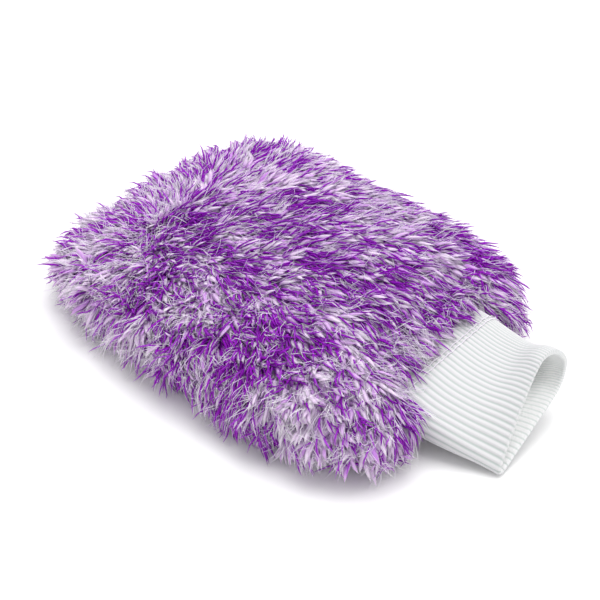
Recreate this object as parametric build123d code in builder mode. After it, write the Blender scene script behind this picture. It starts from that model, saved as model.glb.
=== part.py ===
"""Plush car-wash mitt: two deep-pile panels, wadding, a lining pocket and a rib-knit cuff.

Frame, in millimetres: +Z is up from the surface that the mitt lies on, +Y points to the
fingertips and -Y to the cuff's mouth, +X is to the right of a right hand lying palm down.
The origin is on that surface, below the middle of the whole mitt.
"""

from build123d import *
import math
import os

os.makedirs("parts", exist_ok=True)

# ---- The mitt as a whole, pile included ----
mitt_length = 307.0  # from the pile beyond the fingertips to the cuff's mouth
body_length = 270.0  # the pile body alone, without the cuff
body_width = 210.0
crown_height = 72.0  # highest point of the pile
seam_height = 24.0  # the two panels meet in this level plane
plan_corner = 50.0  # radius of the body's corners seen from above
sharpest_corner = 8.0  # no drawn-in outline has a smaller radius
shoulder_skew = 18.0  # the cuff end lies askew, its left shoulder forward by this much

# ---- The cloth, from the outside inwards ----
top_pile = 17.0
side_pile = 15.0
rest_pile = 9.0  # under the mitt, flattened by its weight
backing = 1.0  # knitted ground that the pile is rooted in
wadding = 6.0
lining = 0.8
ply_clearance = 0.3  # between one layer and the next
lining_draw_in = 7.5  # the pocket's side seam stands this much inside the wadding

# ---- The seams ----
seam_allowance = 6.0
lining_allowance = 5.0
wadding_gap = 3.0  # the wadding stops this far above and below the seam plane
thread = 0.5
stitch_pitch = 6.0
stitch_bite = 3.0  # how far an edge stitch reaches in over the cloth
stitch_slack = 0.05  # between a stitch and the raw edge that it goes round
tack_width = 3.0
tack_spacing = 24.0
ring_clearance = 0.2  # between the cuff and the chain stitches round it

# ---- The cuff: two plies of rib knit, folded over at the mouth ----
rib_ply = 1.3
ply_gap = 0.4
hem_depth = 4.0  # solid fold at the mouth
port_clearance = 1.5  # round the cuff, in every layer that it passes through
cuff_reach = 83.5  # from the mouth to the raw edges inside the pocket
cuff_free = 41.5  # from the mouth to where the cuff starts to narrow
mouth_turn = 9.0  # degrees, the mouth's open end is drawn back
mouth_width = 65.0
mouth_left = -21.0

# Each cuff section is drawn round two circles: X, Z and radius of the left and right one.
ROOT_ENDS = ((-27.0, 27.0, 9.5), (35.0, 30.0, 10.5))
NECK_ENDS = ((-29.0, 17.0, 9.0), (34.0, 32.0, 13.0))
MOUTH_RADII = (4.0, 16.0)
MOUTH_RISE = 29.0  # the open end's centre stands this much above the pinched end's

# Share of the rise, and the share of the half width that the outline has drawn in by there.
TOP_PROFILE = ((0.0, 0.0), (0.34, 0.03), (0.6, 0.12), (0.8, 0.28), (0.93, 0.5), (1.0, 0.82))
REST_PROFILE = ((0.0, 0.0), (0.5, 0.03), (0.85, 0.1), (1.0, 0.22))

# ---- Places that follow from the sizes above ----
finger_end = mitt_length / 2
cuff_end = finger_end - body_length
mouth_y = -mitt_length / 2
root_y = mouth_y + cuff_reach
neck_y = mouth_y + cuff_free
half_width = body_width / 2
cuff_wall = 2 * rib_ply + ply_gap
CUFF_STITCH_PLACES = (neck_y + 16.0, neck_y + 20.0)  # two rows of chain stitch inside the port

# Each layer's outside, as (inset from the pile's outline, rise above, drop below the seam plane).
PILE = (0.0, crown_height - seam_height, seam_height)
GROUND = (side_pile, PILE[1] - top_pile, PILE[2] - rest_pile)


def next_layer(layer, thickness, draw_in=0.0):
    """The layer that lies a thickness further in, and drawn in at the sides by some more."""
    inset, rise, drop = layer
    return (inset + thickness + draw_in, rise - thickness, drop - thickness)


GROUND_INSIDE = next_layer(GROUND, backing)
WADDING = next_layer(GROUND_INSIDE, ply_clearance)
WADDING_INSIDE = next_layer(WADDING, wadding)
LINING = next_layer(WADDING_INSIDE, ply_clearance, lining_draw_in)
POCKET = next_layer(LINING, lining)


def plan_corners(inset):
    """The body's four corners seen from above, drawn in by inset."""
    side = half_width - inset
    slant = shoulder_skew * side / half_width
    return (
        (-side, finger_end - inset),
        (side, finger_end - inset),
        (side, cuff_end + inset + slant),
        (-side, cuff_end + inset - slant),
    )


def plan_radius(inset):
    """The radius that keeps the drawn-in outline's corners concentric."""
    return max(plan_corner - inset, sharpest_corner)


def dome(layer, upward):
    """A closed dome on the seam plane, with the outside of a layer: the upper or the lower half."""
    inset, rise, drop = layer
    profile = TOP_PROFILE if upward else REST_PROFILE
    height = rise if upward else -drop
    with BuildPart() as shape:
        for height_share, draw_share in profile:
            drawn = inset + draw_share * (half_width - inset)
            with BuildSketch(Plane.XY.offset(seam_height + height_share * height)):
                with BuildLine():
                    FilletPolyline(*plan_corners(drawn), radius=plan_radius(drawn), close=True)
                make_face()
        loft(ruled=True)
    return shape.part


def seam_band(inset, width, thickness, upward):
    """A flat band of cloth that lies on the seam plane, from inset inwards by its width."""
    with BuildPart() as band:
        with BuildSketch(Plane.XY.offset(seam_height)):
            for drawn, mode in ((inset, Mode.ADD), (inset + width, Mode.SUBTRACT)):
                with BuildLine():
                    FilletPolyline(*plan_corners(drawn), radius=plan_radius(drawn), close=True)
                make_face(mode=mode)
        extrude(amount=thickness if upward else -thickness)
    return band.part


def two_circle_face(plane, left, right, grow):
    """The face inside a band stretched round two circles, each (across, up, radius), grown."""
    with BuildSketch(plane) as section:
        with BuildLine():
            for across, up, radius in (left, right):
                CenterArc((across, up), radius + grow, 0, 360)
        make_hull()
    return section.sketch


def cuff_section(ends, y, grow):
    """The cuff's cross-section square to Y, as a face that looks along -Y."""
    plane = Plane(origin=(0, y, 0), x_dir=(1, 0, 0), z_dir=(0, -1, 0))
    return two_circle_face(plane, ends[0], ends[1], grow)


def mouth_plane(depth):
    """The plane of the mouth, moved into the cuff by depth; it turns about the pinched end."""
    turn = math.radians(mouth_turn)
    pinched = MOUTH_RADII[0]
    return Plane(
        origin=(mouth_left + pinched, mouth_y + pinched * math.sin(turn) + depth, 0),
        x_dir=(math.cos(turn), math.sin(turn), 0),
        z_dir=(math.sin(turn), -math.cos(turn), 0),
    )


def mouth_section(grow):
    """The cuff's teardrop mouth: pinched on the surface at the left, standing open at the right."""
    pinched, open_end = MOUTH_RADII
    span = (mouth_width - pinched - open_end) / math.cos(math.radians(mouth_turn))
    left = (0, pinched, pinched)
    right = (span, pinched + MOUTH_RISE, open_end)
    return two_circle_face(mouth_plane(0), left, right, grow)


def cuff_core(grow):
    """The cuff's closed outline, grown by grow, from the raw edges through the neck to the mouth."""
    with BuildPart() as core:
        loft(
            [
                cuff_section(ROOT_ENDS, root_y, grow),
                cuff_section(NECK_ENDS, neck_y, grow),
                mouth_section(grow),
            ],
            ruled=True,
        )
    return core.part


def half_layer(upward, outside, inside):
    """The upper or lower half of a layer of cloth: what lies between two domes."""
    with BuildPart() as layer:
        add(dome(outside, upward))
        add(dome(inside, upward), mode=Mode.SUBTRACT)
    return layer.part


def crosses_port(place):
    """True where a stitch would stand in the cuff's port."""
    return place.Y < root_y and port_box.min.X - thread < place.X < port_box.max.X + thread


def crosses_tack(place):
    """True where a stitch would stand in a fingertip tack."""
    apart = min(abs(place.X - across) for across in TACK_PLACES)
    return place.Y > 0 and apart < tack_width / 2 + thread


def stitch_planes(inset, free_side):
    """Planes across a seam band's free edge, one for each stitch; X points off the edge."""
    with BuildLine(Plane.XY.offset(seam_height)) as edge:
        FilletPolyline(*plan_corners(inset), radius=plan_radius(inset), close=True)
    path = edge.wire()
    count = int(path.length / stitch_pitch)
    planes = []
    for number in range(count):
        share = (number + 0.5) / count
        place = path.position_at(share)
        if crosses_port(place) or crosses_tack(place):
            continue
        along = path.tangent_at(share)
        planes.append(Plane(place, x_dir=Vector(0, 0, free_side).cross(along), z_dir=along))
    return planes


def edge_stitches(inset, free_side, cloth):
    """U-shaped overlock stitches round the free edge of two seam bands, each cloth thick."""
    with BuildPart() as stitches:
        with BuildSketch(*stitch_planes(inset, free_side)):
            with Locations((stitch_slack + thread, 0)):
                Rectangle(
                    stitch_bite + stitch_slack + thread,
                    2 * (cloth + thread),
                    align=(Align.MAX, Align.CENTER),
                )
            with Locations((stitch_slack, 0)):
                Rectangle(
                    stitch_bite + stitch_slack,
                    2 * cloth,
                    align=(Align.MAX, Align.CENTER),
                    mode=Mode.SUBTRACT,
                )
        extrude(amount=thread / 2, both=True)
    return stitches.part


# ---- What several pieces share ----
cuff_port = cuff_core(port_clearance)
port_box = cuff_port.bounding_box()
shell_band_inset = GROUND_INSIDE[0]
shell_edge = shell_band_inset + seam_allowance
lining_edge = LINING[0] - lining_allowance
TACK_PLACES = (-tack_spacing, 0.0, tack_spacing)

# ---- Plush panels: pile and ground as one body of cloth, seam allowance turned inwards ----
with BuildPart() as top_plush_panel:
    add(half_layer(True, PILE, GROUND_INSIDE))
    add(seam_band(shell_band_inset, seam_allowance, backing, True))
    add(cuff_port, mode=Mode.SUBTRACT)
top_plush_panel.part.label = "top_plush_panel"

with BuildPart() as bottom_plush_panel:
    add(half_layer(False, PILE, GROUND_INSIDE))
    add(seam_band(shell_band_inset, seam_allowance, backing, False))
    add(cuff_port, mode=Mode.SUBTRACT)
bottom_plush_panel.part.label = "bottom_plush_panel"

# ---- Wadding: one layer under each panel, trimmed back from the seam ----
with BuildPart() as top_wadding:
    add(half_layer(True, WADDING, WADDING_INSIDE))
    split(bisect_by=Plane.XY.offset(seam_height + wadding_gap), keep=Keep.TOP)
    add(cuff_port, mode=Mode.SUBTRACT)
top_wadding.part.label = "top_wadding"

with BuildPart() as bottom_wadding:
    add(half_layer(False, WADDING, WADDING_INSIDE))
    split(bisect_by=Plane.XY.offset(seam_height - wadding_gap), keep=Keep.BOTTOM)
    add(cuff_port, mode=Mode.SUBTRACT)
bottom_wadding.part.label = "bottom_wadding"

# ---- Lining: the pocket that the hand goes into, seam allowance turned outwards ----
with BuildPart() as top_lining:
    add(half_layer(True, LINING, POCKET))
    add(seam_band(lining_edge, lining_allowance + lining, lining, True))
    add(cuff_port, mode=Mode.SUBTRACT)
top_lining.part.label = "top_lining"

with BuildPart() as bottom_lining:
    add(half_layer(False, LINING, POCKET))
    add(seam_band(lining_edge, lining_allowance + lining, lining, False))
    add(cuff_port, mode=Mode.SUBTRACT)
bottom_lining.part.label = "bottom_lining"

# ---- Rib cuff: a tube of two plies that are one cloth at the mouth's fold ----
with BuildPart() as ply_space:
    add(cuff_core(-rib_ply))
    add(cuff_core(-rib_ply - ply_gap), mode=Mode.SUBTRACT)
    split(bisect_by=mouth_plane(hem_depth), keep=Keep.BOTTOM)

with BuildPart() as rib_cuff:
    add(cuff_core(0))
    add(cuff_core(-cuff_wall), mode=Mode.SUBTRACT)
    add(ply_space.part, mode=Mode.SUBTRACT)
rib_cuff.part.label = "rib_cuff"

# ---- Threads ----
with BuildPart() as shell_seam_overlock:
    add(edge_stitches(shell_edge, -1, backing))
shell_seam_overlock.part.label = "shell_seam_overlock"

with BuildPart() as lining_seam_overlock:
    add(edge_stitches(lining_edge, 1, lining))
lining_seam_overlock.part.label = "lining_seam_overlock"

with BuildPart() as cuff_seam_stitching:
    for ring_y in CUFF_STITCH_PLACES:
        with BuildSketch(Plane(origin=(0, ring_y, 0), x_dir=(1, 0, 0), z_dir=(0, -1, 0))):
            Rectangle(4 * body_width, 4 * body_width)
    extrude(amount=thread)
    add(cuff_core(ring_clearance + thread), mode=Mode.INTERSECT)
    add(cuff_core(ring_clearance), mode=Mode.SUBTRACT)
cuff_seam_stitching.part.label = "cuff_seam_stitching"

# ---- Tacks that hold the pocket's tip in the shell ----
with BuildPart() as fingertip_tacks:
    with BuildSketch(Plane.XY.offset(seam_height - lining)):
        for across in TACK_PLACES:
            with Locations((across, finger_end - (shell_edge + lining_edge) / 2)):
                Rectangle(tack_width, lining_edge - shell_edge)
    extrude(amount=2 * lining)
fingertip_tacks.part.label = "fingertip_tacks"

export_step(top_plush_panel.part, "parts/top_plush_panel.step")
export_step(bottom_plush_panel.part, "parts/bottom_plush_panel.step")
export_step(top_wadding.part, "parts/top_wadding.step")
export_step(bottom_wadding.part, "parts/bottom_wadding.step")
export_step(top_lining.part, "parts/top_lining.step")
export_step(bottom_lining.part, "parts/bottom_lining.step")
export_step(rib_cuff.part, "parts/rib_cuff.step")
export_step(shell_seam_overlock.part, "parts/shell_seam_overlock.step")
export_step(lining_seam_overlock.part, "parts/lining_seam_overlock.step")
export_step(cuff_seam_stitching.part, "parts/cuff_seam_stitching.step")
export_step(fingertip_tacks.part, "parts/fingertip_tacks.step")
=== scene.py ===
# %% [markdown]
# # A plush wash mitt
# A car-wash mitt is two panels of long-pile plush sewn into a bag, with soft wadding and a lining
# pocket inside and a rib-knit cuff at the open end. The CAD frame gives every size and place.
# Here each layer gets its true cloth shape, and the pile is grown on it strand by strand.

# %% Load the frame
import math

import bmesh
import bpy
import numpy as np
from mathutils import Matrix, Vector, noise


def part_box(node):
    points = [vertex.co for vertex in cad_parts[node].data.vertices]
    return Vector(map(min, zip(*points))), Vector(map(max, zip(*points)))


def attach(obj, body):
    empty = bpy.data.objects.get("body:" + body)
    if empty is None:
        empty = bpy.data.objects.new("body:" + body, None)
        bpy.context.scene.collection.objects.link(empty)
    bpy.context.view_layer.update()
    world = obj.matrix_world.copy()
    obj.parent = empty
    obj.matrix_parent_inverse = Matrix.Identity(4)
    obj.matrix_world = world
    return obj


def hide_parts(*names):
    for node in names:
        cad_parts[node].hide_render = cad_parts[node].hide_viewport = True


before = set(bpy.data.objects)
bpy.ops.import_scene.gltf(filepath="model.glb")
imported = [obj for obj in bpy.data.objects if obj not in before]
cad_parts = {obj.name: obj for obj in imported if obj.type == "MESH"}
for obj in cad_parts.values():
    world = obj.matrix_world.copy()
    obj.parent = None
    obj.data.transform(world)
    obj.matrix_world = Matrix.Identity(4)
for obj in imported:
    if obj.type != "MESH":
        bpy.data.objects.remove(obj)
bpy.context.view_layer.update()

panel_low, panel_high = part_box("top_plush_panel")
under_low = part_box("bottom_plush_panel")[0]
cuff_low, cuff_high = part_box("rib_cuff")

# %% [markdown]
# ## The body's shape
# Seen from above the mitt is a rounded oblong, a superellipse. From the side it is a pillow:
# a dome over the seam and a flatter one under it. One formula makes every layer, each a
# little further in, so that the layers can never cross each other.

# %% Sizes that every layer shares
seam_z = panel_low[2]
half_width = (panel_high[0] - panel_low[0]) / 2
finger_y = panel_high[1]
body_length = 0.270
half_length = body_length / 2
middle_y = finger_y - half_length
crown = panel_high[2] - seam_z
belly = seam_z - under_low[2]
skew = 0.018  # the left shoulder lies this much nearer to the mouth than the middle
outline_power = 4.6  # 2 is an ellipse, and large is a box
top_power = 2.0
belly_power = 3.4
finger_fall = 0.36  # the finger end has no hand in it, and lies this share lower
corner_fall = 0.30  # the far left corner lies lower still


def plan_radius(angle, inset):
    """How far the body's outline is from its middle, in a direction seen from above."""
    wide = np.abs(np.cos(angle) / (half_width - inset)) ** outline_power
    long = np.abs(np.sin(angle) / (half_length - inset)) ** outline_power
    return (wide + long) ** (-1 / outline_power)


def skewed(x, y):
    """Moves the cuff end askew: nothing at the fingertips, all of it at the cuff."""
    return y + middle_y + skew * (x / half_width) * (1 - y / half_length) / 2


def fallen(x, y, z):
    """Lets the upper side sink towards the fingertips, and furthest at the far left corner."""
    share = np.clip((y - middle_y) / half_length * 1.25 - 0.25, 0, 1)
    corner = np.clip(-x / half_width, 0, 1) * np.clip((y - middle_y) / half_length, 0, 1)
    fall = finger_fall * share ** 1.5 + corner_fall * corner ** 0.7
    return np.where(z > seam_z, seam_z + (z - seam_z) * (1 - fall), z)


def layer_ring(tilt, inset, rise, drop, spokes):
    """One ring of a layer: tilt runs from nought at the crown, over the seam, to pi at the belly."""
    turns = np.arange(spokes) / spokes * 2 * math.pi
    upper = tilt <= math.pi / 2
    power = top_power if upper else belly_power
    reach = plan_radius(turns, inset) * math.sin(tilt) ** (2 / power)
    lift = max(0.0, abs(math.cos(tilt))) ** (2 / power)
    x = reach * np.cos(turns)
    y = skewed(x, reach * np.sin(turns))
    z = np.full(spokes, seam_z + (rise if upper else -drop) * lift)
    return np.column_stack([x, y, fallen(x, y, z)])


def ring_faces(rings, spokes, closed=False, flipped=False):
    """Four-sided faces between rings of points; closed joins the last ring to the first."""
    faces = []
    for ring in range(rings if closed else rings - 1):
        a, b = ring * spokes, (ring + 1) % rings * spokes
        for spoke in range(spokes):
            after = (spoke + 1) % spokes
            corners = (a + spoke, b + spoke, b + after, a + after)
            faces.append(corners[:1] + corners[:0:-1] if flipped else corners)
    return faces


def joined_rings(rings, first_pole, last_pole):
    """Points and faces of a closed skin: rings in order, with a pole point at each end."""
    spokes = len(rings[0])
    points = np.concatenate([*rings, [first_pole], [last_pole]])
    faces = ring_faces(len(rings), spokes)
    last = (len(rings) - 1) * spokes
    for spoke in range(spokes):
        after = (spoke + 1) % spokes
        faces.append((len(points) - 2, spoke, after))
        faces.append((len(points) - 1, last + after, last + spoke))
    return points, faces


def half_layer(outside, inside, upper, edge=0.0001, spokes=160, rings=26):
    """Half of a layer as a closed shell: outside and inside are (inset, rise, drop).

    The half stops at this distance from the level of the seam.
    """
    power = top_power if upper else belly_power
    hoops = []
    poles = []
    for layer in (outside, inside):
        height = layer[1] if upper else layer[2]
        last = math.acos((edge / height) ** (power / 2))
        tilts = [last * step / rings for step in range(1, rings + 1)]
        if layer is inside:
            tilts.reverse()
        hoops += [layer_ring(t if upper else math.pi - t, *layer, spokes) for t in tilts]
        poles.append([0, float(skewed(0, 0)), seam_z + (height if upper else -height)])
    points, faces = joined_rings(hoops, *poles)
    if not upper:
        faces = [face[::-1] for face in faces]
    return points, faces


def layer_surface(inset, rise, drop, spokes=160, rings=56):
    """A whole closed pillow, from the crown down to the middle of the belly."""
    tilts = [math.pi * ring / rings for ring in range(1, rings)]
    middle = float(skewed(0, 0))
    hoops = [layer_ring(t, inset, rise, drop, spokes) for t in tilts]
    return joined_rings(hoops, [0, middle, seam_z + rise], [0, middle, seam_z - drop])


def new_object(name, points, faces, smooth=True):
    """A mesh object at the origin with its place in its mesh."""
    mesh = bpy.data.meshes.new(name)
    mesh.from_pydata([tuple(p) for p in points], [], [tuple(f) for f in faces])
    mesh.polygons.foreach_set("use_smooth", [smooth] * len(mesh.polygons))
    mesh.validate()
    mesh.update()
    made = bpy.data.objects.new(name, mesh)
    bpy.context.collection.objects.link(made)
    return made


def spaced(points, pitch=None, shares=None):
    """Places round a closed line of points: every pitch, or at these shares of its length."""
    closed = np.vstack([points, points[:1]])
    steps = np.concatenate([[0], np.cumsum(np.linalg.norm(np.diff(closed, axis=0), axis=1))])
    if pitch:
        count = round(steps[-1] / pitch)
        shares = np.arange(count) / count
    return np.column_stack([np.interp(shares * steps[-1], steps, axis) for axis in closed.T])


def headings(ring):
    """The direction in which a closed line of points runs, at each of them."""
    ahead = np.roll(ring, -1, axis=0) - np.roll(ring, 1, axis=0)
    return ahead / np.linalg.norm(ahead, axis=1)[:, None]


def stand_for(piece, node):
    """Parents a piece to the root body and hides the CAD node that it stands for."""
    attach(piece, "root")
    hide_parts(node)


def settled_mesh(made):
    """The mesh that an object's modifiers make; the modifiers are then taken off."""
    settled = made.evaluated_get(bpy.context.evaluated_depsgraph_get())
    mesh = bpy.data.meshes.new_from_object(settled)
    made.modifiers.clear()
    return mesh


print(f"body {2 * half_width:.3f} x {body_length:.3f} m, seam at {seam_z:.3f} m")

# %% [markdown]
# ## Node maths in Python
# A node tree reads badly as a list of links. A small class that wraps a socket lets a sum or a
# product of sockets be written as one expression, and each operator adds its own node.

# %% Sockets as numbers
def operator(operation, swapped=False):
    """A method that turns one of Python's signs into a node."""
    if swapped:
        return lambda value, other: value.graph.maths(operation, other, value)
    return lambda value, other: value.graph.maths(operation, value, other)


class Value:
    """An output socket that can be added, multiplied and so on; each operator adds a node."""

    def __init__(self, graph, socket):
        self.graph = graph
        self.socket = socket

    __add__, __radd__ = operator("ADD"), operator("ADD", swapped=True)
    __sub__, __rsub__ = operator("SUBTRACT"), operator("SUBTRACT", swapped=True)
    __mul__, __rmul__ = operator("MULTIPLY"), operator("MULTIPLY", swapped=True)
    __pow__ = operator("POWER")


class Graph:
    """A node tree under construction, for materials and for Geometry Nodes alike."""

    def __init__(self, tree):
        self.tree = tree

    def add(self, kind, sockets=None, pick=None, **settings):
        """Adds a node: its settings first, then its sockets by name or number. Gives one output."""
        node = self.tree.nodes.new(kind)
        for key, value in settings.items():
            setattr(node, key, value)
        for key, value in (sockets or {}).items():
            socket = self.find(node.inputs, key)
            if isinstance(value, Value):
                self.tree.links.new(value.socket, socket)
            else:
                socket.default_value = value
        if pick is False:
            return node
        return Value(self, self.find(node.outputs, 0 if pick is None else pick))

    @staticmethod
    def find(sockets, key):
        """The live socket with this name, or the live socket with this number."""
        live = [s for s in sockets if s.enabled]
        if isinstance(key, int):
            return live[key]
        return next(s for s in live if s.name == key)

    def maths(self, operation, first, second=None):
        """A Math or Vector Math node, whichever the inputs need."""
        both = [v for v in (first, second) if v is not None]
        vectors = [isinstance(v, Value) and v.socket.type not in ("VALUE", "INT") for v in both]
        if not any(vectors):
            return self.add("ShaderNodeMath", dict(enumerate(both)), operation=operation)
        if operation == "MULTIPLY" and not all(vectors):
            vector, number = (first, second) if vectors[0] else (second, first)
            return self.add("ShaderNodeVectorMath", {0: vector, "Scale": number}, operation="SCALE")
        return self.add("ShaderNodeVectorMath", dict(enumerate(both)), operation=operation)

    def blend(self, share, first, second):
        """A colour between two colours."""
        sockets = {"Factor": share, "A": first, "B": second}
        return self.add("ShaderNodeMix", sockets, "Result", data_type="RGBA")

    def part(self, vector, axis):
        """One number of a vector."""
        return self.add("ShaderNodeSeparateXYZ", {0: vector}, axis)

    def here(self):
        """The place on the object."""
        return self.add("ShaderNodeTexCoord", pick="Object")

    def ramp(self, value, low, high):
        """Nought below low, one above high, and a straight slope between."""
        return self.add("ShaderNodeMapRange", {"Value": value, "From Min": low, "From Max": high})

    def speckle(self, place, scale, detail=2.0):
        """Smooth noise; a larger scale is finer."""
        return self.add("ShaderNodeTexNoise", {"Vector": place, "Scale": scale, "Detail": detail}, "Fac")


def colour(red, green, blue):
    """A screen colour, 0 to 255 a channel, as the linear colour that shaders work in."""
    linear = []
    for channel in (red, green, blue):
        share = channel / 255
        linear.append(share / 12.92 if share <= 0.04045 else ((share + 0.055) / 1.055) ** 2.4)
    return (*linear, 1.0)


# %% [markdown]
# ## Fibre finishes
# Microfibre pile is matt with a soft sheen. Each strand's own UV map carries its colour: across
# the map lie sixty-four dye lots, and along it a strand runs from its root to its tip.

# %% Pile materials
dye_lots = 64


def new_finish(name):
    """An empty material: (material, its graph, its Principled shader)."""
    finish = bpy.data.materials.new(name)
    finish.use_nodes = True
    tree = finish.node_tree
    shader = next(n for n in tree.nodes if n.type == "BSDF_PRINCIPLED")
    return finish, Graph(tree), shader


def dress(g, shader, tint, roughness, relief=None, strength=0.0, depth=0.0):
    """Gives a shader its colour, its roughness and, from a relief, its bump."""
    g.tree.links.new(tint.socket, shader.inputs["Base Color"])
    shader.inputs["Roughness"].default_value = roughness
    if relief is not None:
        bump = g.add("ShaderNodeBump", {"Height": relief, "Strength": strength, "Distance": depth})
        g.tree.links.new(bump.socket, shader.inputs["Normal"])


def strand_finish(name, root, body, tip, pale, streak, streaks, glow):
    """Pile yarn: three colours along it (in the pale yarns a darker root, partly painted shade deep in the
    pile), dye lots that differ, and streaks of another colour.
    """
    finish, g, shader = new_finish(name)
    uv = g.add("ShaderNodeUVMap", uv_map="OFBake")
    along = g.part(uv, "Y")
    place = g.part(uv, "X") * dye_lots
    lot = g.maths("FLOOR", place)
    chance = g.add("ShaderNodeTexWhiteNoise", {"W": lot + 0.5}, "Value", noise_dimensions="1D")
    spot = g.add("ShaderNodeCombineXYZ", {0: place * 6.0, 1: along * 1.6, 2: lot})
    filament = g.speckle(spot, 1.0, 3.0)
    # the root colour fades into the body colour here; in the pale yarns that root colour is partly painted
    # shade
    lower = g.ramp(along, 0.05, 0.50)
    upper = g.ramp(along, 0.50, 0.95)
    yarn = g.blend(upper, g.blend(lower, root, body), tip)
    lots = g.blend(chance ** 2.5 * 0.9, yarn, pale)
    vein = g.ramp(filament, 0.50, 0.66)
    tint = g.blend(vein * streaks, lots, streak)
    dress(g, shader, tint * (1.08 - filament * 0.16), 0.8, filament, 0.3, 0.0004)
    soft = {"Weight": glow, "Radius": (1.0, 0.8, 1.0), "Scale": 0.0025}
    for name, value in soft.items():
        shader.inputs[f"Subsurface {name}"].default_value = value
    shader.inputs["Specular IOR Level"].default_value = 0.2
    return finish


# the deep purple root colour is partly painted shade deep in the pile
lilac_yarn = strand_finish(
    "lilac_yarn", colour(152, 54, 190), colour(216, 194, 222), colour(226, 212, 230),
    colour(186, 128, 210), colour(170, 100, 202), 0.5, 0.7,
)
purple_yarn = strand_finish(
    "purple_yarn", colour(132, 6, 170), colour(134, 2, 172), colour(122, 0, 162),
    colour(162, 66, 200), colour(112, 0, 150), 0.5, 0.3,
)
# the darker lilac root colour is partly painted shade deep in the pile
white_yarn = strand_finish(
    "white_yarn", colour(226, 210, 236), colour(246, 240, 248), colour(252, 250, 252),
    colour(214, 190, 230), colour(238, 230, 242), 0.3, 0.3,
)


def ground_finish():
    """The dense short pile between the tufts: purple where the dyer's brush was, lilac elsewhere."""
    finish, g, shader = new_finish("short_pile")
    place = g.here()
    dyed = g.add("ShaderNodeAttribute", pick="Fac", attribute_name="purple")
    fleck = g.speckle(place, 420.0, 3.0)
    share = g.ramp(fleck + dyed * 0.7, 0.72, 1.0)
    pale = g.blend(fleck, colour(232, 214, 238), colour(196, 150, 218))
    dress(g, shader, g.blend(share, pale, colour(136, 10, 174)), 0.9, fleck, 0.8, 0.0008)
    return finish


short_pile = ground_finish()

# %% [markdown]
# ## Camera and light
# The camera looks down over the near left corner, with the cuff to the right. A white room and
# two large soft lamps show the pile by its own shade, without hard shadows between the strands.

# %% Camera, light and floor
view_turn = math.radians(-45.1)
view_rise = math.radians(37.9)
view_distance = 1.0
eye_side = Vector((
    math.sin(view_turn) * math.cos(view_rise),
    -math.cos(view_turn) * math.cos(view_rise),
    math.sin(view_rise),
))
aim = Vector((0, middle_y, 0))
camera_data = bpy.data.cameras.new("camera")
camera_data.lens = 103.8
camera_data.sensor_width = 36
camera_data.shift_x = 0.0142
camera_data.shift_y = 0.0272
camera = bpy.data.objects.new("camera", camera_data)
camera.location = aim + view_distance * eye_side
camera.rotation_euler = eye_side.to_track_quat("Z", "Y").to_euler()
bpy.context.collection.objects.link(camera)
bpy.context.scene.camera = camera
bpy.context.scene.view_settings.view_transform = "Standard"

world = bpy.data.worlds.new("studio")
world.use_nodes = True
background = world.node_tree.nodes["Background"].inputs
background["Color"].default_value = (1, 1, 1, 1)
background["Strength"].default_value = 0.94
bpy.context.scene.world = world


def softbox(name, place, size, power):
    """A square area light aimed at the mitt."""
    data = bpy.data.lights.new(name, "AREA")
    data.size = size
    data.energy = power
    lamp = bpy.data.objects.new(name, data)
    lamp.location = place
    lamp.rotation_euler = (Vector(place) - aim).to_track_quat("Z", "Y").to_euler()
    bpy.context.collection.objects.link(lamp)


softbox("overhead", (0.1, 0.1, 1.1), 0.9, 8.0)
softbox("key", (0.3, -0.6, 0.8), 0.6, 2.0)

floor = new_object(
    "floor", [(-4, -4, 0), (4, -4, 0), (4, 4, 0), (-4, 4, 0)], [(0, 1, 2, 3)], smooth=False
)
floor_finish, g, shader = new_finish("floor_finish")
shader.inputs["Base Color"].default_value = (0.93, 0.93, 0.93, 1)
shader.inputs["Roughness"].default_value = 0.6
floor.data.materials.append(floor_finish)

# %% [markdown]
# ## The rib cuff
# The cuff is one tube of rib knit folded back into itself, so it has two plies and a soft fold at
# the mouth. Its section is a band round two circles: small at the pinched end on the table, large
# at the open end. Following the profile once round both plies gives one closed skin, and each
# rib is a real ridge in it, because ribs catch the light along their whole length.

# %% Cuff shape
rib_count = 72
points_per_rib = 8
rib_relief = 0.0007
rib_stretch = 0.50  # ribs are this much wider on the near side, where the knit is stretched
ply = 0.0013
ply_gap = 0.0004
mouth_turn = math.radians(9.0)
rib_flatness = (1.0, 0.65, 0.45)  # relief of the ribs at the pinched end, the middle and the open end
mouth_recess = 0.005  # the upper ply's edge lies this much further back than the lower one's
mouth_bulge = 0.004


def band_section(left, right, count):
    """Points round two circles, each (across, up, radius), from the left end over the top."""
    gap = math.hypot(right[0] - left[0], right[1] - left[1])
    heading = math.atan2(right[1] - left[1], right[0] - left[0])
    lean = math.acos(max(-1, min(1, (left[2] - right[2]) / gap)))
    samples = 90
    points = []
    arcs = ((left, math.pi, lean), (right, lean, -lean), (left, -lean, -math.pi))
    for (across, up, radius), first, last in arcs:
        for number in range(samples + 1):
            turn = heading + first + (last - first) * number / samples
            points.append((across + radius * math.cos(turn), up + radius * math.sin(turn)))
    turns = np.arange(count) / count
    return spaced(points, shares=turns + rib_stretch * np.sin(2 * math.pi * turns) / (2 * math.pi))


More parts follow.
